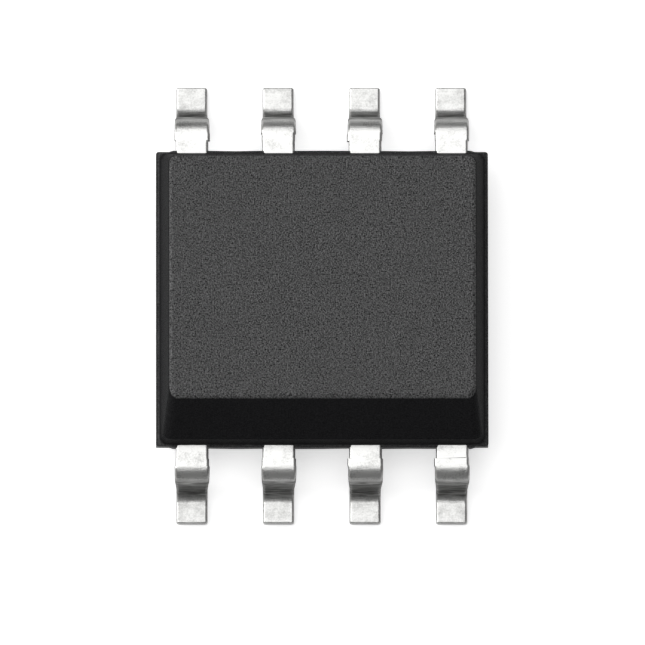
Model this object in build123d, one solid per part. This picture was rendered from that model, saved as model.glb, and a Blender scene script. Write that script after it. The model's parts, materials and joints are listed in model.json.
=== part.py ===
from build123d import *
import os
from math import radians, tan

# Eight-lead small-outline power transistor: a single N-channel MOSFET in a moulded
# surface-mount package. Millimetres. The origin is on the board's surface under the
# middle of the body, +Z points up, +X runs from pin 1 to pin 4 and pins 1 to 4 are on
# the -Y side. Pins 1 to 3 are the source, pin 4 the gate and pins 5 to 8 the drain.

# Moulded body
BODY_END = 0.53             # from the outermost lead's middle to the body's end
BODY_WIDTH = 4.35           # along Y, across the rim
BODY_TOP = 1.65             # top face above the board
STANDOFF = 0.10             # underside above the board
UPPER_SIDE_LEDGE = 0.03     # how far the upper half steps in from the rim, long sides
UPPER_END_LEDGE = 0.055     # and at the short ends
LOWER_LEDGE = 0.02          # how far the lower half steps in from the rim
SIDE_DRAFT = 8.6            # degrees, long sides
END_DRAFT = 10.3            # degrees, short ends
CORNER_RADIUS = 0.12        # upright corners of both halves
EDGE_RADIUS = 0.05          # round the top and bottom faces
RIM_CORNER_RADIUS = 0.04
CHAMFER_INSET = 0.655       # from the rim in to the chamfer's upper edge, pin 1 side
CHAMFER_WALL = 0.28         # wall left between the rim and the chamfer's lower edge
FLASH_DEPTH = 0.02          # thin flash left between the leads
FLASH_OVERRUN = 0.10        # how far the flash runs past the outermost leads

# Leads, formed from one thickness of sheet
SHEET = 0.20
PITCH = 1.27
LEADS_PER_SIDE = 4
NECK_WIDTH = 0.48           # where a lead leaves the body
STUB_WIDTH = 0.52           # across the stubs of the sheared dam bar
FOOT_WIDTH = 0.46
STUB_START = 0.17           # from the body's side out to the stubs
STUB_LENGTH = 0.15
LEAD_PLANE = 0.82           # middle of the sheet, above the board
SHOULDER = 0.425            # from the body's side out to the upper bend's corner
SHANK_LEAN = 8.1            # degrees from upright
UPPER_BEND = 0.08           # bend radii, on the inside of the bend
LOWER_BEND = 0.17
FOOT_LENGTH = 0.522         # from the lower bend's corner out to the tip
FOOT_CORNER = 0.04          # rounding of the tip's corners

# Lead ends and die paddle inside the body
POST_COVER = 0.24           # moulding between the body's side and a fused bar
BAR_DEPTH = 0.60            # source bar and gate post, along Y
PADDLE_DOWNSET = 0.30       # paddle below the lead plane
PADDLE_GAP = 0.20           # paddle to source bar, along Y
PADDLE_END_COVER = 0.48     # moulding between the body's end and the paddle
DRAIN_BAR_DEPTH = 0.22      # level part of the drain, before it bends down
DOWNSET_RUN = 0.22          # length of the slope down to the paddle, along Y
DOWNSET_BEND = 0.05         # on the inside of the bend
SPREAD = 0.20               # how far the gate post and source bar widen past their leads

# Chip, its solder and its bond wires
DIE_THICKNESS = 0.25
DIE_FRONT_MARGIN = 0.30     # paddle left in front of the die, behind it and at its ends
DIE_BACK_MARGIN = 0.55
DIE_END_MARGIN = 0.80
SOLDER_THICKNESS = 0.04
SOLDER_FILLET = 0.05        # how far the solder shows round the die
PAD_THICKNESS = 0.01        # metal on the die's face
PAD_BORDER = 0.12           # bare silicon round the pads
GATE_PAD = 0.45
PAD_GAP = 0.10
SOURCE_WIRES = 4
SOURCE_WIRE = 0.20          # diameter
SOURCE_FOOT = 0.32          # length of the flattened foot
SOURCE_PRESS = 0.04         # how far a foot is pressed in, below and above
SOURCE_COVER = 0.23         # moulding between the loops and the top face
SOURCE_CLIMB = 0.30         # part of the span between the feet in which the loop climbs
SOURCE_FALL = 0.35          # and in which it comes down
SOURCE_WIRE_MARGIN = 0.04   # foot to the edge of its pad or bar
GATE_WIRE = 0.05
GATE_COVER = 0.33
GATE_FOOT = 0.10
GATE_PRESS = 0.01
GATE_LEVEL = 0.55           # part of the gate wire's span that runs level
BALL_RADIUS = 0.06
BALL_HEIGHT = 0.03

RISING = 0.3                # an edge that climbs more steeply than this is a corner edge

# Worked out from the sizes above
HALF_SHEET = SHEET / 2
SHEET_TOP = LEAD_PLANE + HALF_SHEET
SHEET_BOTTOM = LEAD_PLANE - HALF_SHEET
HALF_LENGTH = (LEADS_PER_SIDE - 1) / 2 * PITCH + BODY_END
HALF_WIDTH = BODY_WIDTH / 2
LEAD_X = [(pin - (LEADS_PER_SIDE - 1) / 2) * PITCH for pin in range(LEADS_PER_SIDE)]
UPPER_CORNER = HALF_WIDTH + SHOULDER
LOWER_CORNER = UPPER_CORNER + (LEAD_PLANE - HALF_SHEET) * tan(radians(SHANK_LEAN))
LEAD_TIP = LOWER_CORNER + FOOT_LENGTH
BAR_OUTER = HALF_WIDTH - POST_COVER
BAR_INNER = BAR_OUTER - BAR_DEPTH
PADDLE_FRONT = -(BAR_INNER - PADDLE_GAP)
PADDLE_BACK = BAR_OUTER - DRAIN_BAR_DEPTH - DOWNSET_RUN
PADDLE_PLANE = LEAD_PLANE - PADDLE_DOWNSET
PADDLE_TOP = PADDLE_PLANE + HALF_SHEET
PADDLE_HALF_LENGTH = HALF_LENGTH - PADDLE_END_COVER
DIE_FRONT = PADDLE_FRONT + DIE_FRONT_MARGIN
DIE_WIDTH = PADDLE_BACK - DIE_BACK_MARGIN - DIE_FRONT
DIE_LENGTH = 2 * (PADDLE_HALF_LENGTH - DIE_END_MARGIN)
DIE_BASE = PADDLE_TOP + SOLDER_THICKNESS
DIE_TOP = DIE_BASE + DIE_THICKNESS
PAD_TOP = DIE_TOP + PAD_THICKNESS


def block(x0, x1, y0, y1, z0, z1):
    """A plain block between two corners."""
    centre = Pos((x0 + x1) / 2, (y0 + y1) / 2, (z0 + z1) / 2)
    return centre * Box(x1 - x0, y1 - y0, z1 - z0)


def outline_face(points):
    """A flat face inside a closed run of straight edges."""
    return make_face(Polyline(*points, close=True).edges())


# ---- moulded body

def half_shell(base, top, side_ledge, end_ledge, chamfered):
    """One half of the body: drafted walls from the rim at base to the face at top."""
    height = abs(top - base)
    side = HALF_WIDTH - side_ledge
    end = HALF_LENGTH - end_ledge
    side_top = side - height * tan(radians(SIDE_DRAFT))
    end_top = end - height * tan(radians(END_DRAFT))
    section = [(side, base), (side_top, top)]
    if chamfered:
        section.append((-(HALF_WIDTH - CHAMFER_INSET), top))
        chamfer_side = side - CHAMFER_WALL * tan(radians(SIDE_DRAFT))
        section.append((-chamfer_side, base + CHAMFER_WALL))
    else:
        section.append((-side_top, top))
    section.append((-side, base))
    ends = [(-end, base), (-end_top, top), (end_top, top), (end, base)]
    along_x = extrude(Plane.YZ * outline_face(section), HALF_LENGTH, both=True)
    along_y = extrude(Plane.XZ * outline_face(ends), HALF_WIDTH, both=True)
    shell = along_x & along_y
    corners = [edge for edge in shell.edges() if abs(edge.tangent_at(0.5).Z) > RISING]
    shell = fillet(corners, CORNER_RADIUS)
    outer_face = shell.faces().sort_by(Axis.Z)[-1 if top > base else 0]
    return fillet(outer_face.edges(), EDGE_RADIUS)


def moulding():
    """The outside of the body: two halves, the rim between them and the lead flash."""
    rim = block(-HALF_LENGTH, HALF_LENGTH, -HALF_WIDTH, HALF_WIDTH, SHEET_BOTTOM, SHEET_TOP)
    rim = fillet(rim.edges().filter_by(Axis.Z), RIM_CORNER_RADIUS)
    reach = LEAD_X[-1] + NECK_WIDTH / 2 + FLASH_OVERRUN
    flash_edge = HALF_WIDTH + FLASH_DEPTH
    flash = block(-reach, reach, -flash_edge, flash_edge, SHEET_BOTTOM, SHEET_TOP)
    upper = half_shell(SHEET_TOP, BODY_TOP, UPPER_SIDE_LEDGE, UPPER_END_LEDGE, chamfered=True)
    lower = half_shell(SHEET_BOTTOM, STANDOFF, LOWER_LEDGE, LOWER_LEDGE, chamfered=False)
    return rim + flash + upper + lower


# ---- leadframe

def bent_sheet(points, inside_radii, width):
    """Sheet as wide as width along X, bent along a line of (y, z) points."""
    radii = [inside + HALF_SHEET for inside in inside_radii]
    path = FilletPolyline(*[(0, y, z) for y, z in points], radius=radii)
    start = Plane(origin=path @ 0, x_dir=(1, 0, 0), z_dir=path % 0)
    return sweep(start * Rectangle(width, SHEET), path=path)


def gull_wing_line(inner):
    """The line of a lead's bends, from y = inner inside the body out to its tip."""
    corners = [(inner, LEAD_PLANE), (UPPER_CORNER, LEAD_PLANE)]
    return corners + [(LOWER_CORNER, HALF_SHEET), (LEAD_TIP, HALF_SHEET)]


def lead_outline(x, inner):
    """One lead seen from above, on the +Y side, from y = inner out to its tip."""
    neck, stub, foot = NECK_WIDTH / 2, STUB_WIDTH / 2, FOOT_WIDTH / 2
    step = HALF_WIDTH + STUB_START
    right = [(neck, inner), (neck, step), (stub, step), (stub, step + STUB_LENGTH)]
    right += [(foot, LOWER_CORNER), (foot, LEAD_TIP)]
    left = [(-half, y) for half, y in reversed(right)]
    face = outline_face([(x + half, y) for half, y in right + left])
    tip_corners = face.vertices().sort_by(Axis.Y)[-2:]
    return fillet(tip_corners, FOOT_CORNER)


def rectangle_outline(x0, x1, y0, y1):
    """A rectangle seen from above, between two corners."""
    return Pos((x0 + x1) / 2, (y0 + y1) / 2) * Rectangle(x1 - x0, y1 - y0)


def stamped(sheet, outline):
    """What is left of a bent sheet after an outline is stamped through it."""
    return sheet & extrude(outline, SHEET_TOP + SHEET)


def full_width(x0, x1, line, radii):
    """A bent sheet that covers x0 to x1."""
    return Pos((x0 + x1) / 2, 0, 0) * bent_sheet(line, radii, x1 - x0)


def front_lead_group(first, last, x0, x1):
    """Leads first to last fused to one bar that spans x0 to x1, on the -Y side."""
    outline = rectangle_outline(x0, x1, BAR_INNER, BAR_OUTER)
    for x in LEAD_X[first:last + 1]:
        outline += lead_outline(-x, (BAR_INNER + BAR_OUTER) / 2)
    sheet = full_width(x0 - SHEET, x1 + SHEET, gull_wing_line(BAR_INNER), [UPPER_BEND, LOWER_BEND])
    return Rot(0, 0, 180) * stamped(sheet, outline)


def source_leadframe():
    """Pins 1 to 3, fused to one bond bar inside the body."""
    left = LEAD_X[0] - NECK_WIDTH / 2
    right = LEAD_X[2] + NECK_WIDTH / 2 + SPREAD
    return front_lead_group(0, 2, -right, -left)


def gate_lead():
    """Pin 4, which widens to a bond post inside the body."""
    left = LEAD_X[3] - NECK_WIDTH / 2 - SPREAD
    right = LEAD_X[3] + NECK_WIDTH / 2
    return front_lead_group(3, 3, -right, -left)


def drain_leadframe():
    """The die paddle, fused to pins 5 to 8."""
    bar_edge = BAR_OUTER - DRAIN_BAR_DEPTH
    line = [(PADDLE_FRONT, PADDLE_PLANE), (PADDLE_BACK, PADDLE_PLANE), (bar_edge, LEAD_PLANE)]
    line += gull_wing_line(bar_edge)[1:]
    radii = [DOWNSET_BEND, DOWNSET_BEND, UPPER_BEND, LOWER_BEND]
    sheet = bent_sheet(line, radii, 2 * HALF_LENGTH)
    bar = LEAD_X[-1] + NECK_WIDTH / 2
    outline = rectangle_outline(-PADDLE_HALF_LENGTH, PADDLE_HALF_LENGTH, PADDLE_FRONT, PADDLE_BACK)
    outline += rectangle_outline(-bar, bar, PADDLE_BACK - SHEET, BAR_OUTER)
    for x in LEAD_X:
        outline += lead_outline(x, bar_edge)
    return stamped(sheet, outline)


# ---- chip and bonds

def centred_block(length, y0, y1, z0, z1):
    """A block centred on the body's middle, x = 0."""
    return block(-length / 2, length / 2, y0, y1, z0, z1)


def die_attach_solder():
    """The solder between the paddle and the chip."""
    back = DIE_FRONT + DIE_WIDTH + SOLDER_FILLET
    length = DIE_LENGTH + 2 * SOLDER_FILLET
    return centred_block(length, DIE_FRONT - SOLDER_FILLET, back, PADDLE_TOP, DIE_BASE)


def silicon_die():
    """The chip, with its source pad notched round its gate pad."""
    half = DIE_LENGTH / 2 - PAD_BORDER
    front = DIE_FRONT + PAD_BORDER
    back = DIE_FRONT + DIE_WIDTH - PAD_BORDER
    gate_side = half - GATE_PAD
    gate_back = front + GATE_PAD
    chip = centred_block(DIE_LENGTH, DIE_FRONT, DIE_FRONT + DIE_WIDTH, DIE_BASE, DIE_TOP)
    source_pad = block(-half, half, front, back, DIE_TOP, PAD_TOP)
    notch = block(gate_side - PAD_GAP, half, front, gate_back + PAD_GAP, DIE_TOP, PAD_TOP)
    gate_pad = block(gate_side, half, front, gate_back, DIE_TOP, PAD_TOP)
    return chip + (source_pad - notch) + gate_pad


def wire_plane(start, finish):
    """An upright plane from start to finish: its x runs along the wire and its y up."""
    along = Vector(finish[0] - start[0], finish[1] - start[1], 0)
    plane = Plane(origin=(start[0], start[1], 0), x_dir=along, z_dir=along.cross(Vector(0, 0, 1)))
    return plane, along.length


def swept_wire(plane, points, radius, bend):
    """A round wire along (distance, height) points in an upright plane."""
    path = FilletPolyline(*[plane.from_local_coords((u, z, 0)) for u, z in points], radius=bend)
    return sweep(Plane(origin=path @ 0, z_dir=path % 0) * Circle(radius), path=path)


def press_flat(plane, distance, length, level, thickness, span):
    """Where a foot is pressed: the room below its seat and above its flattened top."""
    middle = plane.from_local_coords((distance + length / 2, 0, 0))
    turn = Rot(0, 0, plane.x_dir.get_angle(Vector(1, 0, 0)) * (1 if plane.x_dir.Y >= 0 else -1))
    seat = Pos(middle.X, middle.Y, level - length / 2) * turn * Box(span, length, length)
    top = Pos(middle.X, middle.Y, level + thickness + length / 2) * turn * Box(length, length, length)
    return seat + top


def source_wire(x):
    """A heavy bond wire from the source pad to the source bar, wedge-bonded at both ends."""
    half = SOURCE_WIRE / 2
    start = (x, DIE_FRONT + DIE_WIDTH / 2 + SOURCE_FOOT / 2)
    finish = (x, -BAR_OUTER + SOURCE_WIRE_MARGIN)
    plane, span = wire_plane(start, finish)
    rest_die = PAD_TOP + half - SOURCE_PRESS
    rest_bar = SHEET_TOP + half - SOURCE_PRESS
    peak = BODY_TOP - SOURCE_COVER - half
    reach = span - 2 * SOURCE_FOOT
    points = [(0, rest_die), (SOURCE_FOOT, rest_die), (SOURCE_FOOT + reach * SOURCE_CLIMB, peak)]
    points += [(span - SOURCE_FOOT - reach * SOURCE_FALL, peak), (span - SOURCE_FOOT, rest_bar)]
    points.append((span, rest_bar))
    wire = swept_wire(plane, points, half, SOURCE_WIRE)
    thickness = SOURCE_WIRE - 2 * SOURCE_PRESS
    wire -= press_flat(plane, 0, SOURCE_FOOT, PAD_TOP, thickness, span)
    wire -= press_flat(plane, span - SOURCE_FOOT, SOURCE_FOOT, SHEET_TOP, thickness, span)
    return wire


def gate_wire():
    """The thin gate wire: a ball on the gate pad and a stitch on the gate post."""
    half = GATE_WIRE / 2
    start = (DIE_LENGTH / 2 - PAD_BORDER - GATE_PAD / 2, DIE_FRONT + PAD_BORDER + GATE_PAD / 2)
    finish = (LEAD_X[3], -(BAR_OUTER + BAR_INNER) / 2)
    plane, span = wire_plane(start, finish)
    peak = BODY_TOP - GATE_COVER - half
    rest = SHEET_TOP + half - GATE_PRESS
    points = [(0, PAD_TOP + BALL_HEIGHT / 2), (0, peak), (span * GATE_LEVEL, peak)]
    points += [(span - GATE_FOOT, rest), (span, rest)]
    wire = swept_wire(plane, points, half, GATE_WIRE)
    thickness = GATE_WIRE - 2 * GATE_PRESS
    wire -= press_flat(plane, span - GATE_FOOT, GATE_FOOT, SHEET_TOP, thickness, span)
    ball = Pos(start[0], start[1], PAD_TOP + BALL_HEIGHT / 2) * Cylinder(BALL_RADIUS, BALL_HEIGHT)
    return wire + ball


def source_wire_places():
    """Where the source wires lie along X, spread over the pad beside the gate."""
    half = DIE_LENGTH / 2 - PAD_BORDER - SOURCE_WIRE_MARGIN - SOURCE_WIRE / 2
    left = -half
    right = DIE_LENGTH / 2 - PAD_BORDER - GATE_PAD - PAD_GAP - SOURCE_WIRE_MARGIN - SOURCE_WIRE / 2
    return [left + (right - left) * n / (SOURCE_WIRES - 1) for n in range(SOURCE_WIRES)]


def build():
    """Every piece of the transistor, by its node's name."""
    pieces = {
        "drain_leadframe": drain_leadframe(),
        "source_leadframe": source_leadframe(),
        "gate_lead": gate_lead(),
        "die_attach_solder": die_attach_solder(),
        "silicon_die": silicon_die(),
        "gate_wire": gate_wire(),
    }
    for number, x in enumerate(source_wire_places(), start=1):
        pieces[f"source_wire_{number}"] = source_wire(x)
    body = moulding()
    for piece in pieces.values():
        body -= piece
    pieces["package_body"] = body
    return pieces


os.makedirs("parts", exist_ok=True)
for name, shape in build().items():
    solids = shape.solids()
    print(name, len(solids), round(shape.volume, 5), shape.is_valid)
    export_step(shape, f"parts/{name}.step")
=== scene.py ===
# %% [markdown]
# # An eight-lead power transistor in its moulded package
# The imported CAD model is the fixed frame: it says how large each piece is and where it
# sits. This file models the surfaces that show, with their fine edges and finishes, in
# the same place.

# %% Load the frame
import bpy
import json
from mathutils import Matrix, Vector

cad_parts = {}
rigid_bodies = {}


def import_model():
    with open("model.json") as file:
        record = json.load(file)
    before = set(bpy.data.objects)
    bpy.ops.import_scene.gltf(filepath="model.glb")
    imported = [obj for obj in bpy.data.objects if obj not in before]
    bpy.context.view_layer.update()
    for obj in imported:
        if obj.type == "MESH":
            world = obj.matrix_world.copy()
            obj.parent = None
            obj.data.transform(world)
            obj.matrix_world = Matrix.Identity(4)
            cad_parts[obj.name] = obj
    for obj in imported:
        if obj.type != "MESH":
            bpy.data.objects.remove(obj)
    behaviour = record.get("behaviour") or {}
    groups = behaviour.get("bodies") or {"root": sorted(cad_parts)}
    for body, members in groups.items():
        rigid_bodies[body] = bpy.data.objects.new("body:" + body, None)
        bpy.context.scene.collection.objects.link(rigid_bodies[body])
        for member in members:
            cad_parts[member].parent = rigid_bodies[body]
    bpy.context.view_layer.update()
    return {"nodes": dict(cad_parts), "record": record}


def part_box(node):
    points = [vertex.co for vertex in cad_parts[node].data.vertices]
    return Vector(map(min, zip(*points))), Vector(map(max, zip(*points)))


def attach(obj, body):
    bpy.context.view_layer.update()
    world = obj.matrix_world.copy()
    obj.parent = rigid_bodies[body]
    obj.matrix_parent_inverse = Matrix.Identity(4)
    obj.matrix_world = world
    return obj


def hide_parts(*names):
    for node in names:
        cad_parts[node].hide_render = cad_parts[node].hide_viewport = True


for leftover in list(bpy.data.objects):
    bpy.data.objects.remove(leftover)
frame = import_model()

import json
import random
from math import cos, hypot, pi, radians, sin, tan

from mathutils import Matrix, Vector

# %% [markdown]
# Blender's bevel and merge tools give up on distances near a micrometre, and a bend in
# this package is only 80 micrometres inside. So each piece is modelled with one Blender
# unit to the millimetre, where the tools work well, and is shrunk to metres at the end.

# %% Working sizes in millimetres, from the frame and the sheet the leads are cut from
MM = 0.001


def box_mm(node):
    """The lowest and highest corners of a CAD node, in millimetres."""
    low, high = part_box(node)
    return Vector(low) / MM, Vector(high) / MM


body_low, body_high = box_mm("package_body")
drain_low, drain_high = box_mm("drain_leadframe")
gate_low, gate_high = box_mm("gate_lead")
source_low, source_high = box_mm("source_leadframe")

SHEET = 0.20
HALF_SHEET = SHEET / 2
FLASH_DEPTH = 0.02
half_length = body_high.x
half_width = body_high.y - FLASH_DEPTH
sheet_top = drain_high.z
sheet_bottom = sheet_top - SHEET
lead_plane = sheet_top - HALF_SHEET
lead_tip = drain_high.y
NECK_WIDTH = 0.48
STUB_WIDTH = 0.52
FOOT_WIDTH = 0.46
lead_x = gate_high.x - STUB_WIDTH / 2
PITCH = 1.27
NEAR = 0.001
print("body half length and width:", round(half_length, 3), round(half_width, 3))
print("outermost lead at x =", round(lead_x, 3), "tip at y =", round(lead_tip, 3))

# %% [markdown]
# An edit-mode operator works on whatever is selected, so a few helpers come first: one
# deselects everything, one starts a primitive, and two pick faces or edges by where they
# are. Each picks in object mode, where code can read the mesh, and goes back into edit
# mode, where the operators run. A face counts as facing along an axis when more than
# `FACING` of its normal points that way.

# %% Helpers for selecting and shaping
FACING = 0.9


def deselect_all():
    """Go to object mode with nothing selected."""
    if bpy.context.object and bpy.context.object.mode != "OBJECT":
        bpy.ops.object.mode_set(mode="OBJECT")
    bpy.ops.object.select_all(action="DESELECT")


def make_active(piece):
    """Select one object alone."""
    deselect_all()
    piece.select_set(True)
    bpy.context.view_layer.objects.active = piece


def block(name, low, high):
    """A box between two corners, as the start of a piece."""
    deselect_all()
    low, high = Vector(low), Vector(high)
    bpy.ops.mesh.primitive_cube_add(size=1, location=(low + high) / 2, scale=high - low)
    piece = bpy.context.object
    piece.name = name
    bpy.ops.object.transform_apply(location=True, rotation=True, scale=True)
    return piece


def start_picking(piece, mode):
    """Clear the selection of a mesh and set which kind of element is picked."""
    make_active(piece)
    picked = [kind == mode for kind in ("VERT", "EDGE", "FACE")]
    bpy.context.tool_settings.mesh_select_mode = picked
    for elements in (piece.data.vertices, piece.data.edges, piece.data.polygons):
        elements.foreach_set("select", [False] * len(elements))


def pick_faces(piece, test):
    """Enter edit mode with the faces selected whose centre and normal pass a test."""
    start_picking(piece, "FACE")
    for face in piece.data.polygons:
        face.select = test(face.center, face.normal)
    bpy.ops.object.mode_set(mode="EDIT")


def pick_edges(piece, test):
    """Enter edit mode with the edges selected whose two ends pass a test."""
    start_picking(piece, "EDGE")
    points = piece.data.vertices
    for edge in piece.data.edges:
        first, second = (points[number] for number in edge.vertices)
        edge.select = test(first.co, second.co)
        if edge.select:
            first.select = second.select = True
    bpy.ops.object.mode_set(mode="EDIT")


def pick_points(piece, test):
    """Enter edit mode with the vertices selected whose place passes a test."""
    start_picking(piece, "VERT")
    for point in piece.data.vertices:
        point.select = test(point.co)
    bpy.ops.object.mode_set(mode="EDIT")


def push(offset):
    """Extrude the selected faces by an offset."""
    move = {"value": offset, "orient_type": "GLOBAL"}
    bpy.ops.mesh.extrude_region_move(TRANSFORM_OT_translate=move)


def stretch(factors, centre):
    """Scale the selection about a centre."""
    bpy.ops.transform.resize(value=factors, center_override=centre, orient_type="GLOBAL")


# %% [markdown]
# Real edges are never perfectly sharp, and a rounded edge is what catches the light. The
# Bevel modifier rounds every edge that is still sharp, and Weighted Normal keeps the
# large flat faces looking flat beside those small roundings.

# %% Helpers for finishing a piece
def apply_modifier(piece, kind, **settings):
    """Add one modifier with its settings and apply it."""
    make_active(piece)
    bpy.ops.object.modifier_add(type=kind)
    modifier = piece.modifiers[-1]
    for setting, value in settings.items():
        setattr(modifier, setting, value)
    bpy.ops.object.modifier_apply(modifier=modifier.name)


def soften(piece, radius, segments=3, angle=30):
    """Round what is still sharp, and smooth the shading."""
    apply_modifier(piece, "BEVEL", width=radius, segments=segments, limit_method="ANGLE",
                   angle_limit=radians(angle), miter_outer="MITER_ARC")
    make_active(piece)
    bpy.ops.object.shade_smooth_by_angle(angle=radians(angle))
    apply_modifier(piece, "WEIGHTED_NORMAL", weight=50, keep_sharp=True)


def close_up(piece):
    """Merge doubled vertices and point every face outwards."""
    pick_points(piece, lambda place: True)
    bpy.ops.mesh.remove_doubles(threshold=0.0001)
    bpy.ops.mesh.normals_make_consistent(inside=False)
    bpy.ops.object.mode_set(mode="OBJECT")


def settle(piece, node):
    """Shrink a finished piece to metres and hand it to the frame in a node's place."""
    make_active(piece)
    piece.scale = (MM, MM, MM)
    bpy.ops.object.transform_apply(location=True, rotation=True, scale=True)
    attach(piece, "root")
    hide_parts(node)
    print(piece.name, "has", len(piece.data.polygons), "faces")


# %% [markdown]
# ## The moulded body
# The body is pressed in a two-part mould round the leadframe. Its rim is where the mould
# closed: it is as thick as the sheet, and both halves step in from it and lean inwards,
# so that the part comes out of the mould. Modelling starts with the rim as a box. Insets
# and extrusions raise the two halves from it, which keeps the whole body one closed mesh.
# A low flare at the foot of each half, like a fillet, softens the step in from the rim.
# The mould pinches the leads, so the rim is a hair thinner than they are. The flash is
# what leaked out between them, so its edge is a little uneven and its ends tail off.

# %% The rim, with the flash that fills the gaps between the leads
FLASH_OVERRUN = 0.10
FLASH_TAIL = 0.07
FLASH_WANDER = 0.010
PINCH = 0.006
rim_top = sheet_top - PINCH
rim_bottom = sheet_bottom + PINCH
flash_reach = lead_x + NECK_WIDTH / 2 + FLASH_OVERRUN
flash_cuts = [-flash_reach] + [PITCH * third / 3 for third in range(-5, 6)] + [flash_reach]
dice = random.Random(8)
body = block("moulded_body", (-half_length, -half_width, rim_bottom),
             (half_length, half_width, rim_top))
for side in (-1, 1):
    for x in flash_cuts:
        pick_faces(body, lambda centre, normal: normal.y * side > FACING)
        bpy.ops.mesh.bisect(plane_co=(x, 0, 0), plane_no=(1, 0, 0))
    pick_faces(body, lambda centre, normal: (
        normal.y * side > FACING and abs(centre.x) < flash_reach))
    push((0, side * FLASH_DEPTH, 0))
    for x in flash_cuts[1:-1]:
        pick_points(body, lambda place: (
            place.y * side > half_width + NEAR and abs(place.x - x) < NEAR))
        bpy.ops.transform.translate(value=(0, -side * dice.uniform(0, FLASH_WANDER), 0))
    for end in (-1, 1):
        pick_points(body, lambda place: (
            place.y * side > half_width + NEAR and place.x * end > flash_reach - NEAR))
        bpy.ops.transform.translate(value=(-end * FLASH_TAIL, 0, 0))
bpy.ops.object.mode_set(mode="OBJECT")
print("rim has", len(body.data.polygons), "faces")

# %% The drafted halves
UPPER_SIDE_LEDGE = 0.03
UPPER_END_LEDGE = 0.055
SIDE_DRAFT = radians(8.6)
END_DRAFT = radians(10.3)
FOOT_WIDE = 0.022
FOOT_HIGH = 0.014
LOWER_LEDGE = FOOT_WIDE + 0.002


def step_in(piece, x, y, centre):
    """Draw the selected face in by x at its ends and by y at its sides."""
    half_x, half_y, z = centre
    stretch(((half_x - x) / half_x, (half_y - y) / half_y, 1), (0, 0, z))


def raise_half(piece, base, top, side_ledge, end_ledge):
    """Step in from the rim at base, then extrude the half out to top with its drafts."""
    up = 1 if top > base else -1
    pick_faces(piece, lambda centre, normal: normal.z * up > FACING and abs(centre.y) < 0.1)
    bpy.ops.mesh.inset(thickness=side_ledge - FOOT_WIDE, use_even_offset=True)
    extra = end_ledge - side_ledge
    inner_x, inner_y = half_length - side_ledge + FOOT_WIDE, half_width - side_ledge + FOOT_WIDE
    step_in(piece, extra, 0, (inner_x, inner_y, base))
    push((0, 0, up * FOOT_HIGH))
    step_in(piece, FOOT_WIDE, FOOT_WIDE, (inner_x - extra, inner_y, base))
    height = abs(top - base)
    push((0, 0, top - base - up * FOOT_HIGH))
    narrow = (height * tan(END_DRAFT), height * tan(SIDE_DRAFT))
    step_in(piece, *narrow, (half_length - end_ledge, half_width - side_ledge, top))
    bpy.ops.object.mode_set(mode="OBJECT")


raise_half(body, rim_top, body_high.z, UPPER_SIDE_LEDGE, UPPER_END_LEDGE)
raise_half(body, rim_bottom, body_low.z, LOWER_LEDGE, LOWER_LEDGE)
print("body has", len(body.data.polygons), "faces")

# %% [markdown]
# The long chamfer along the pin 1 side shows which way round the part goes. It is a flat
# cut, so `bisect` makes it: the plane passes through the chamfer's two edges, what lies
# outside is cleared, and the hole is filled with the new sloping face.

# %% The chamfer on the pin 1 side
CHAMFER_INSET = 0.655
CHAMFER_WALL = 0.28
chamfer_top = Vector((0, -(half_width - CHAMFER_INSET), body_high.z))
chamfer_low_y = half_width - UPPER_SIDE_LEDGE - CHAMFER_WALL * tan(SIDE_DRAFT)
chamfer_low = Vector((0, -chamfer_low_y, sheet_top + CHAMFER_WALL))
slope = chamfer_top - chamfer_low
chamfer_normal = Vector((0, -slope.z, slope.y)).normalized()
pick_faces(body, lambda centre, normal: centre.z > sheet_top + 0.01)
bpy.ops.mesh.bisect(plane_co=chamfer_top, plane_no=chamfer_normal,
                    use_fill=True, clear_outer=True)
bpy.ops.object.mode_set(mode="OBJECT")
print("chamfer slope:", round(slope.angle(Vector((0, 1, 0))) * 180 / pi, 1), "degrees")

# %% [markdown]
# The mould was milled, so its upright corners have the cutter's radius, and its top and
# bottom faces meet the walls in a smaller rounding. The larger bevel goes first, and the
# smaller one then runs round the corners that it left.

# %% Round the body's corners and edges
CORNER_RADIUS = 0.12
RIM_CORNER_RADIUS = 0.04
EDGE_RADIUS = 0.06
FINE_EDGE = 0.012
RIM_CLEARANCE = 0.02


def is_corner_edge(first, second):
    """An edge where an end wall meets a side wall or the chamfer, in either half."""
    rise = abs((first - second).normalized().z)
    above_rim = max(first.z, second.z) > rim_top + RIM_CLEARANCE
    below_rim = min(first.z, second.z) < rim_bottom - RIM_CLEARANCE
    at_end = min(abs(first.x), abs(second.x)) > flash_reach
    return rise > 0.3 and (above_rim or below_rim) and at_end


def is_face_edge(first, second):
    """An edge round the top or the bottom face."""
    at_top = min(first.z, second.z) > body_high.z - NEAR
    at_bottom = max(first.z, second.z) < body_low.z + NEAR
    return at_top or at_bottom


def is_rim_corner(first, second):
    """An upright edge at a corner of the rim."""
    upright = hypot(first.x - second.x, first.y - second.y) < NEAR
    return upright and min(abs(first.x), abs(second.x)) > half_length - NEAR


pick_edges(body, is_rim_corner)
bpy.ops.mesh.bevel(offset=RIM_CORNER_RADIUS, segments=4, affect="EDGES")
pick_edges(body, is_corner_edge)
bpy.ops.mesh.bevel(offset=CORNER_RADIUS, segments=8, affect="EDGES")
pick_edges(body, is_face_edge)
bpy.ops.mesh.bevel(offset=EDGE_RADIUS, segments=5, affect="EDGES")
close_up(body)
soften(body, FINE_EDGE, segments=2)
settle(body, "package_body")

# %% [markdown]
# ## One gull-wing lead
# A lead is a strip of sheet that was cut out and then bent twice. It is modelled the same
# way: a rounded section is extruded out of the body, spun round the upper bend, extruded
# down the shank, spun back round the lower bend and extruded along the foot. The bar that
# tied the leads together in the strip was sheared off, and its two stubs make the lead a
# little wider just outside the body.

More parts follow.
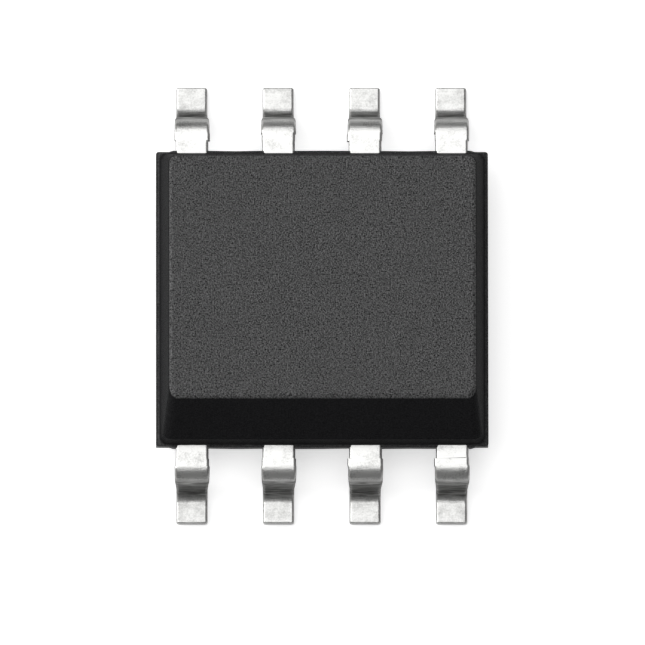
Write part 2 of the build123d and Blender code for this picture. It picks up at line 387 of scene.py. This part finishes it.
# %% The lead's sizes and a rounded section
STUB_START = 0.17
SHOULDER = 0.425
SHANK_LEAN = radians(8.1)
UPPER_BEND = 0.08 + HALF_SHEET
LOWER_BEND = 0.17 + HALF_SHEET
SECTION_RADIUS = 0.045
POST_COVER = 0.24
BEND_STEPS = 14
bar_outer = half_width - POST_COVER
upper_corner = half_width + SHOULDER
lower_corner = upper_corner + (lead_plane - HALF_SHEET) * tan(SHANK_LEAN)
bend_angle = pi / 2 - SHANK_LEAN
shoulder_end = upper_corner - UPPER_BEND * tan(bend_angle / 2)
shank_length = hypot(lower_corner - upper_corner, lead_plane - HALF_SHEET)
straight = shank_length - (UPPER_BEND + LOWER_BEND) * tan(bend_angle / 2)
print("shoulder ends at", round(shoulder_end, 3), "straight shank", round(straight, 3))


def lead_section(name, y):
    """A rounded section of the sheet, facing along the lead at y."""
    deselect_all()
    bpy.ops.mesh.primitive_plane_add(size=1, location=(0, y, lead_plane), rotation=(pi / 2, 0, 0))
    section = bpy.context.object
    section.name = name
    section.scale = (NECK_WIDTH, SHEET, 1)
    bpy.ops.object.transform_apply(location=True, rotation=True, scale=True)
    pick_points(section, lambda place: True)
    bpy.ops.mesh.bevel(offset=SECTION_RADIUS, segments=5, affect="VERTICES")
    return section


# %% Extrude and spin the lead
TIP_ROUND = 0.025
STUB_FLARE = 0.006
BAR_OVERLAP = 0.1
lead_start = bar_outer - BAR_OVERLAP
lead = lead_section("lead", lead_start)
push((0, half_width + STUB_START - lead_start, 0))
push((0, STUB_FLARE, 0))
stretch((STUB_WIDTH / NECK_WIDTH, 1, 1), (0, 0, lead_plane))
push((0, shoulder_end - (half_width + STUB_START + STUB_FLARE), 0))
bpy.ops.mesh.spin(steps=BEND_STEPS, angle=bend_angle, axis=(1, 0, 0),
                  center=(0, shoulder_end, lead_plane - UPPER_BEND))
push((0, straight * sin(SHANK_LEAN), -straight * cos(SHANK_LEAN)))
foot_start = lower_corner + LOWER_BEND * tan(bend_angle / 2)
bpy.ops.mesh.spin(steps=BEND_STEPS, angle=-bend_angle, axis=(1, 0, 0),
                  center=(0, foot_start, HALF_SHEET + LOWER_BEND))
push((0, lead_tip - TIP_ROUND - foot_start, 0))
ROUND_TURNS = (0, 30, 60, 85)
for before, after in zip(ROUND_TURNS, ROUND_TURNS[1:]):
    push((0, TIP_ROUND * (sin(radians(after)) - sin(radians(before))), 0))
    drop = TIP_ROUND * (cos(radians(before)) - cos(radians(after)))
    stretch((1 - 2 * drop / FOOT_WIDTH, 1, 1 - drop / SHEET), (0, lead_tip, HALF_SHEET))
bpy.ops.object.mode_set(mode="OBJECT")
ys = [point.co.y for point in lead.data.vertices]
zs = [point.co.z for point in lead.data.vertices]
print("lead runs y", round(min(ys), 3), round(max(ys), 3),
      "z", round(min(zs), 3), round(max(zs), 3))

# %% [markdown]
# The lead narrows evenly from the stubs down to the foot. Everything beyond a ring of the
# shank is narrowed a little, ring by ring, so the small steps add up to a smooth taper.

# %% Taper the shank
TAPER_STEPS = 10
TAPER_START = 0.04
TAPER_CLEARANCE = 0.10
PAST_SHOULDER = 0.02
taper_height = sheet_top - SHEET - TAPER_CLEARANCE
step_factor = (FOOT_WIDTH / STUB_WIDTH) ** (1 / TAPER_STEPS)
for step in range(TAPER_STEPS):
    level = sheet_top - TAPER_START - step * taper_height / TAPER_STEPS
    pick_points(lead, lambda place: place.y > shoulder_end + PAST_SHOULDER and place.z < level)
    stretch((step_factor, 1, 1), (0, 0, 0))
close_up(lead)
print("lead has", len(lead.data.polygons), "faces")

# %% [markdown]
# Eight leads are eight copies, each with its own mesh. A shear leaves every stub a little
# different, so each copy has its stubs nudged by up to 0.02 mm, from a fixed seed so that
# the result is the same each time.

# %% Copy the lead to its eight places
BURR = 0.018
STUB_REACH = 0.05


def place_lead(number, x, side):
    """A copy of the lead at x, on the side of the body that side gives."""
    make_active(lead)
    bpy.ops.object.duplicate(linked=False)
    copy = bpy.context.object
    copy.name = f"lead_{number}"
    for stub in (-1, 1):
        shift = dice.uniform(-BURR, BURR / 2)
        pick_points(copy, lambda place: (
            place.x * stub > 0
            and abs(place.y - half_width - STUB_START - STUB_REACH) < STUB_REACH))
        bpy.ops.transform.translate(value=(stub * shift, dice.uniform(-BURR, BURR), 0))
    bpy.ops.object.mode_set(mode="OBJECT")
    copy.location = (x, 0, 0)
    if side < 0:
        copy.rotation_euler = (0, 0, pi)
    bpy.ops.object.transform_apply(location=True, rotation=True, scale=True)
    return copy


lead_places = [lead_x - step * PITCH for step in range(4)]
front_leads = [place_lead(number, -x, -1) for number, x in zip((1, 2, 3, 4), lead_places)]
back_leads = [place_lead(number, x, 1) for number, x in zip((5, 6, 7, 8), lead_places)]
bpy.data.objects.remove(lead)

# %% [markdown]
# ## The leadframe inside the body
# Inside the moulding the leads widen into bars, and the drain leads carry the paddle that
# the chip is soldered to. None of it shows, so it is modelled plainly. Boolean unions join
# the leads to it, as one sheet.

# %% Helpers for the sheet inside the body
PLAIN_EDGE = 0.01


def weld(sheet, leads):
    """Join leads to the sheet that they were cut from."""
    for strip in leads:
        apply_modifier(sheet, "BOOLEAN", operation="UNION", object=strip, solver="EXACT")
        bpy.data.objects.remove(strip)


def finish_sheet(sheet, node):
    """Soften a leadframe piece and hand it over."""
    close_up(sheet)
    soften(sheet, PLAIN_EDGE / 2, segments=2, angle=40)
    settle(sheet, node)


# %% The source bar and the gate post
BAR_INSET = 0.02
bar_inner = -source_high.y
source = block("source_leads", (source_low.x + BAR_INSET, -bar_outer, sheet_bottom),
               (source_high.x, -bar_inner, sheet_top))
weld(source, front_leads[:3])
finish_sheet(source, "source_leadframe")
gate = block("gate_lead_tinned", (gate_low.x, -bar_outer, sheet_bottom),
             (gate_high.x - BAR_INSET, -bar_inner, sheet_top))
weld(gate, front_leads[3:])
finish_sheet(gate, "gate_lead")

# %% The drain paddle and its slope up to the leads
PADDLE_COVER = 0.48
DRAIN_BAR_DEPTH = 0.22
DOWNSET_RUN = 0.22
paddle_top = box_mm("die_attach_solder")[0].z
rise = sheet_top - paddle_top
paddle_half = half_length - PADDLE_COVER
paddle_back = bar_outer - DRAIN_BAR_DEPTH - DOWNSET_RUN
drain = block("drain_leads", (-paddle_half, drain_low.y, paddle_top - SHEET),
              (paddle_half, paddle_back, paddle_top))
pick_faces(drain, lambda centre, normal: normal.y > FACING)
push((0, DOWNSET_RUN, rise))
push((0, DRAIN_BAR_DEPTH, 0))
bpy.ops.object.mode_set(mode="OBJECT")
weld(drain, back_leads)
finish_sheet(drain, "drain_leadframe")

# %% [markdown]
# ## Finishes
# Both finishes that show are grainy: the epoxy is full of tiny glass beads, and matte tin
# is made of fine crystals. One node group gives the grain to both. It makes noise of two
# sizes, fine for the grain and broad for slow patches. Both are read from Object
# coordinates, so the pattern keeps its real size on each piece.
# Noise scales count waves to the metre, so a grain 0.03 mm wide is a scale in the tens of
# thousands.

# %% A node group for grain
def new_group(name, inputs, outputs):
    """An empty shader node group with its sockets."""
    group = bpy.data.node_groups.new(name, "ShaderNodeTree")
    for socket, kind, value in inputs:
        made = group.interface.new_socket(name=socket, in_out="INPUT", socket_type=kind)
        if value is not None:
            made.default_value = value
    for socket, kind in outputs:
        group.interface.new_socket(name=socket, in_out="OUTPUT", socket_type=kind)
    start = group.nodes.new("NodeGroupInput")
    end = group.nodes.new("NodeGroupOutput")
    return group, start, end


def add_math(tree, operation, first, second):
    """A Math node on two inputs, each a socket or a number."""
    node = tree.nodes.new("ShaderNodeMath")
    node.operation = operation
    for socket, value in zip(node.inputs, (first, second)):
        if isinstance(value, (int, float)):
            socket.default_value = value
        else:
            tree.links.new(value, socket)
    return node.outputs[0]


def add_noise(tree, vector, scale, detail, roughness=0.5):
    """A noise texture on a vector. The scale is a socket or a number."""
    node = tree.nodes.new("ShaderNodeTexNoise")
    node.inputs["Detail"].default_value = detail
    node.inputs["Roughness"].default_value = roughness
    tree.links.new(vector, node.inputs["Vector"])
    if isinstance(scale, (int, float)):
        node.inputs["Scale"].default_value = scale
    else:
        tree.links.new(scale, node.inputs["Scale"])
    return node.outputs["Fac"]


def make_grain_group():
    """Grain of one size with slow patches over it: a height, and a mask from 0 to 1."""
    inputs = [("Vector", "NodeSocketVector", None),
              ("Waves per Metre", "NodeSocketFloat", 20000.0),
              ("Patch Waves per Metre", "NodeSocketFloat", 1500.0)]
    outputs = [("Height", "NodeSocketFloat"), ("Patches", "NodeSocketFloat")]
    group, start, end = new_group("fine_grain", inputs, outputs)
    fine = add_noise(group, start.outputs["Vector"], start.outputs["Waves per Metre"], 2.0, 0.6)
    broad = add_noise(group, start.outputs["Vector"], start.outputs["Patch Waves per Metre"], 3.0)
    group.links.new(fine, end.inputs["Height"])
    group.links.new(broad, end.inputs["Patches"])
    return group


grain_group = make_grain_group()
print("group", grain_group.name, "has", len(grain_group.nodes), "nodes")


# %% Helpers for materials
def new_material(name, **settings):
    """A material with its Principled BSDF and the piece's Object coordinates."""
    material = bpy.data.materials.new(name)
    material.use_nodes = True
    tree = material.node_tree
    shader = tree.nodes["Principled BSDF"]
    for socket, value in settings.items():
        shader.inputs[socket.replace("_", " ")].default_value = value
    place = tree.nodes.new("ShaderNodeTexCoord").outputs["Object"]
    return material, tree, shader, place


def add_mapping(tree, vector, scale):
    """Object coordinates squeezed along the axes."""
    node = tree.nodes.new("ShaderNodeMapping")
    node.inputs["Scale"].default_value = scale
    tree.links.new(vector, node.inputs["Vector"])
    return node.outputs["Vector"]


def add_grain(tree, vector, waves, patch_waves):
    """The grain group, at its own scale."""
    node = tree.nodes.new("ShaderNodeGroup")
    node.node_tree = grain_group
    node.inputs["Waves per Metre"].default_value = waves
    node.inputs["Patch Waves per Metre"].default_value = patch_waves
    tree.links.new(vector, node.inputs["Vector"])
    return node.outputs["Height"], node.outputs["Patches"]


def add_ramp(tree, mask, low, high, stops=(0.3, 0.7)):
    """A colour that runs from low to high as a mask rises."""
    node = tree.nodes.new("ShaderNodeValToRGB")
    for element, position, colour in zip(node.color_ramp.elements, stops, (low, high)):
        element.position = position
        element.color = (*colour, 1)
    tree.links.new(mask, node.inputs["Fac"])
    return node.outputs["Color"]


def add_range(tree, mask, low, high):
    """A number that runs from low to high as a mask rises from 0.3 to 0.7."""
    node = tree.nodes.new("ShaderNodeMapRange")
    for socket, value in zip(("From Min", "From Max", "To Min", "To Max"), (0.3, 0.7, low, high)):
        node.inputs[socket].default_value = value
    tree.links.new(mask, node.inputs["Value"])
    return node.outputs["Result"]


def add_band(tree, place, low, high, fade):
    """A mask that is 1 between two heights on the piece, in metres, and fades out beyond."""
    split = tree.nodes.new("ShaderNodeSeparateXYZ")
    tree.links.new(place, split.inputs["Vector"])
    middle, half = (low + high) / 2, (high - low) / 2
    away = add_math(tree, "ABSOLUTE", add_math(tree, "SUBTRACT", split.outputs["Z"], middle), 0.0)
    node = tree.nodes.new("ShaderNodeMapRange")
    limits = (half, half + fade, 1.0, 0.0)
    for socket, value in zip(("From Min", "From Max", "To Min", "To Max"), limits):
        node.inputs[socket].default_value = value
    tree.links.new(away, node.inputs["Value"])
    return node.outputs["Result"]


def add_blend(tree, mask, first, second):
    """A number that is first where a mask is 0 and second where it is 1."""
    node = tree.nodes.new("ShaderNodeMix")
    tree.links.new(mask, node.inputs["Factor"])
    for socket, value in zip(("A", "B"), (first, second)):
        if isinstance(value, (int, float)):
            node.inputs[socket].default_value = value
        else:
            tree.links.new(value, node.inputs[socket])
    return node.outputs["Result"]


def add_bump(tree, shader, height, distance):
    """Bump from a height, whose full depth is a distance in metres."""
    node = tree.nodes.new("ShaderNodeBump")
    node.inputs["Strength"].default_value = 1.0
    node.inputs["Distance"].default_value = distance
    tree.links.new(height, node.inputs["Height"])
    tree.links.new(node.outputs["Normal"], shader.inputs["Normal"])


# %% [markdown]
# The moulding compound is near black. What lightens its top face is the soft box above,
# seen in a dull, pimpled surface, so the colour is written darker than it looks. The
# filler shows as specks that are shinier than the resin round them. The mould's finish
# was not the same all over either: the top face came out shinier than the rim, and the rim
# than the chamfer and the walls, so masks by height set how much each reflects.

# %% Moulding compound
COMPOUND_GRAIN = 46000
COMPOUND_PATCHES = 2500
COMPOUND_RELIEF = 0.00002
RIM_FADE = 0.000012
FACE_DEPTH = 0.02


def make_compound():
    """Black epoxy with a fine grain, shinier on the top face."""
    material, tree, shader, place = new_material("moulding_compound", IOR=1.65)
    height, patches = add_grain(tree, place, COMPOUND_GRAIN, COMPOUND_PATCHES)
    rim = add_band(tree, place, sheet_bottom * MM, sheet_top * MM, RIM_FADE)
    face_base, above = (body_high.z - FACE_DEPTH) * MM, (body_high.z + 1) * MM
    face = add_band(tree, place, face_base, above, RIM_FADE)
    colour = add_ramp(tree, height, (0.0045, 0.0045, 0.005), (0.010, 0.010, 0.011))
    tree.links.new(colour, shader.inputs["Base Color"])
    walls_or_face = add_blend(tree, face, 0.62, add_range(tree, patches, 0.40, 0.46))
    tree.links.new(add_blend(tree, rim, walls_or_face, 0.45), shader.inputs["Roughness"])
    specks = add_range(tree, height, 0.0, 1.35)
    dull = add_range(tree, height, 0.03, 0.07)
    dull_or_specks = add_blend(tree, face, dull, specks)
    shine = add_blend(tree, rim, dull_or_specks, add_range(tree, height, 0.20, 0.60))
    tree.links.new(shine, shader.inputs["Specular IOR Level"])
    add_bump(tree, shader, height, COMPOUND_RELIEF)
    return material


# %% [markdown]
# The leads are plated with matte tin. It is soft and bright, and forming the leads rubs
# fine lines across the bends. Those lines are noise that is squeezed along the lead, so
# that it becomes streaks that run across it. The colour of the formed part is also written
# darker, as painted shade for the dark reflections in the bends and the shanks, and darker
# still on the crease of the lower bend and on the shank. Masks by height keep both to the
# formed part: each is its lowest and highest place above the board, and the fade beyond,
# in metres.

# %% Matte tin
TIN_GRAIN = 42000
TIN_PATCHES = 6000
STREAK_WAVES = 26000
TIN_RELIEF = 0.000002
# Height bands in metres: the formed part, with its streaks and painted shade, and the crease and
# the shank, where the painted shade is darker still.
FORMED_STREAKS_AND_SHADE = (0.00026, 0.00078, 0.00008)
CREASE_SHADE = (0.00022, 0.00034, 0.00006)
SHANK_SHADE = (0.00036, 0.00076, 0.00005)


def make_tin():
    """Matte tin with a fine grain, forming lines on the bends and shanks, and painted shade
    there.
    """
    material, tree, shader, place = new_material("matte_tin", Metallic=1.0)
    height, patches = add_grain(tree, place, TIN_GRAIN, TIN_PATCHES)
    streaks = add_noise(tree, add_mapping(tree, place, (0.15, 1, 1)), STREAK_WAVES, 2.0)
    # The formed band holds the streaks and a painted shade that darkens the bends and shanks.
    formed_streaks_and_shade = add_band(tree, place, *FORMED_STREAKS_AND_SHADE)
    crease_shade = add_band(tree, place, *CREASE_SHADE)
    shank_shade = add_band(tree, place, *SHANK_SHADE)
    half_grain = add_math(tree, "MULTIPLY", height, 0.5)
    half_patches = add_math(tree, "MULTIPLY", patches, 0.5)
    mottle = add_math(tree, "ADD", half_grain, half_patches)
    # Painted shade: a darker colour on the crease of the lower bend and on the shank.
    painted_shade = add_math(tree, "MULTIPLY", add_math(tree, "MAXIMUM", crease_shade, shank_shade), 0.14)
    streaks_and_shade = add_math(tree, "SUBTRACT", add_math(tree, "MULTIPLY", streaks, 0.66), painted_shade)
    grain_streaks_and_shade = add_blend(tree, formed_streaks_and_shade, mottle, streaks_and_shade)
    colour = add_ramp(tree, grain_streaks_and_shade, (0.12, 0.12, 0.116), (0.58, 0.58, 0.57), stops=(0.12, 0.50))
    tree.links.new(colour, shader.inputs["Base Color"])
    roughness = add_blend(tree, formed_streaks_and_shade, add_range(tree, height, 0.28, 0.36), 0.48)
    tree.links.new(roughness, shader.inputs["Roughness"])
    relief = add_math(tree, "ADD", height, add_math(tree, "MULTIPLY", streaks, 1.2))
    add_bump(tree, shader, relief, TIN_RELIEF)
    return material


# %% [markdown]
# What is sealed inside never shows, unless someone hides the body. Each of those pieces
# is one metal with slow patches of colour, so one function makes all four finishes.

# %% Solder, silicon and bond wires, inside the moulding
HIDDEN_RELIEF = 0.0000005


def make_metal(name, low, high, roughness, waves):
    """A plain metal whose colour varies a little, for what is sealed inside."""
    material, tree, shader, place = new_material(name, Metallic=1.0)
    height, patches = add_grain(tree, place, waves, waves / 12)
    tree.links.new(add_ramp(tree, patches, low, high), shader.inputs["Base Color"])
    rough = add_range(tree, height, roughness - 0.05, roughness + 0.05)
    tree.links.new(rough, shader.inputs["Roughness"])
    add_bump(tree, shader, height, HIDDEN_RELIEF)
    return material


finishes = {"moulding_compound": make_compound(), "tinned_copper": make_tin()}
HIDDEN_METALS = {
    "solder": ("dull_solder", (0.42, 0.42, 0.43), (0.55, 0.55, 0.55), 0.45, 18000),
    "silicon": ("polished_silicon", (0.20, 0.21, 0.24), (0.27, 0.28, 0.31), 0.18, 4000),
    "aluminium_wire": ("aluminium_wire", (0.80, 0.80, 0.80), (0.88, 0.88, 0.88), 0.30, 30000),
    "gold_wire": ("gold_wire", (0.86, 0.62, 0.24), (0.95, 0.72, 0.32), 0.25, 30000),
}
for slot, metal in HIDDEN_METALS.items():
    finishes[slot] = make_metal(*metal)

# %% Give every piece its finish
for piece in (source, gate, drain):
    piece.data.materials.append(finishes["tinned_copper"])
body.data.materials.append(finishes["moulding_compound"])
for subpart in frame["record"]["subparts"]:
    node = frame["nodes"][subpart["node"]]
    node.data.materials.clear()
    node.data.materials.append(finishes[subpart["material_slot"]])
print("finishes:", ", ".join(finishes))

# %% [markdown]
# ## The studio
# A plain pale floor carries the part. A soft box overhead, a little to the back and left,
# lights it, and a narrow strip at the left lights the edges on that side. The surroundings
# are dim, so that the chamfer and the walls stay dark beside the top face.

# %% Floor
FLOOR_SIZE = 2.0
FLOOR_GAP = 0.000002
CAMERA_LIFT = 0.56
MIRROR_LIFT = 0.06


def make_floor_material():
    """Pale paper that keeps the part's shadow, lifted to plain white where it is seen."""
    material = bpy.data.materials.new("pale_floor")
    material.use_nodes = True
    tree = material.node_tree
    shader = tree.nodes["Principled BSDF"]
    shader.inputs["Base Color"].default_value = (0.9, 0.9, 0.9, 1)
    shader.inputs["Roughness"].default_value = 0.9
    shader.inputs["Specular IOR Level"].default_value = 0.0
    shader.inputs["Emission Color"].default_value = (1, 1, 1, 1)
    rays = tree.nodes.new("ShaderNodeLightPath").outputs
    mirrored = add_math(tree, "MAXIMUM", rays["Is Glossy Ray"], rays["Is Transmission Ray"])
    in_mirror = add_math(tree, "MULTIPLY", mirrored, MIRROR_LIFT)
    direct = add_math(tree, "MULTIPLY", rays["Is Camera Ray"], CAMERA_LIFT)
    tree.links.new(add_math(tree, "ADD", direct, in_mirror), shader.inputs["Emission Strength"])
    return material


deselect_all()
bpy.ops.mesh.primitive_plane_add(size=FLOOR_SIZE, location=(0, 0, -FLOOR_GAP))
floor = bpy.context.object
floor.name = "studio_floor"
floor.data.materials.append(make_floor_material())


# %% Lamps and surroundings
def add_soft_box(name, place, width, depth, brightness):
    """A rectangular lamp that looks at the part, as bright as a surface of that radiance."""
    deselect_all()
    bpy.ops.object.light_add(type="AREA", location=place)
    lamp = bpy.context.object
    lamp.name = name
    lamp.data.shape = "RECTANGLE"
    lamp.data.size = width
    lamp.data.size_y = depth
    lamp.data.energy = brightness * pi * width * depth
    lamp.rotation_euler = (-Vector(place)).to_track_quat("-Z", "Y").to_euler()
    lamp.visible_camera = False
    return lamp


add_soft_box("overhead_soft_box", (-0.03, 0.035, 0.15), 0.18, 0.18, 1.85)
add_soft_box("left_strip", (-0.14, 0.02, 0.06), 0.07, 0.12, 4.0)

world = bpy.data.worlds.new("studio")
bpy.context.scene.world = world
world.use_nodes = True
world.node_tree.nodes["Background"].inputs["Color"].default_value = (0.22, 0.22, 0.22, 1)

# %% [markdown]
# The camera looks almost straight down through a very long lens, a little from the
# chamfered side, so that the sides hardly converge. The lens and the distance together
# set how wide a field it sees.

# %% Camera
VIEW_WIDTH = 0.00948
CAMERA_DISTANCE = 0.30
LEAN_FRONT = radians(7.2)
LEAN_RIGHT = radians(-0.6)
AIM = Vector((0.0000150, -0.000231, 0))
camera_data = bpy.data.cameras.new("camera")
camera = bpy.data.objects.new("camera", camera_data)
bpy.context.scene.collection.objects.link(camera)
camera_data.sensor_width = 36
camera_data.lens = camera_data.sensor_width * CAMERA_DISTANCE / VIEW_WIDTH
camera_data.clip_start = 0.01
camera_data.clip_end = 10
towards = Vector((tan(LEAN_RIGHT), -tan(LEAN_FRONT), 1)).normalized()
camera.location = AIM + towards * CAMERA_DISTANCE
up = towards.cross(Vector((1, 0, 0))).normalized()
right = up.cross(towards)
camera.rotation_euler = Matrix((right, up, towards)).transposed().to_euler()
bpy.context.scene.camera = camera
bpy.context.scene.view_settings.view_transform = "Standard"
print("lens", round(camera_data.lens), "mm")
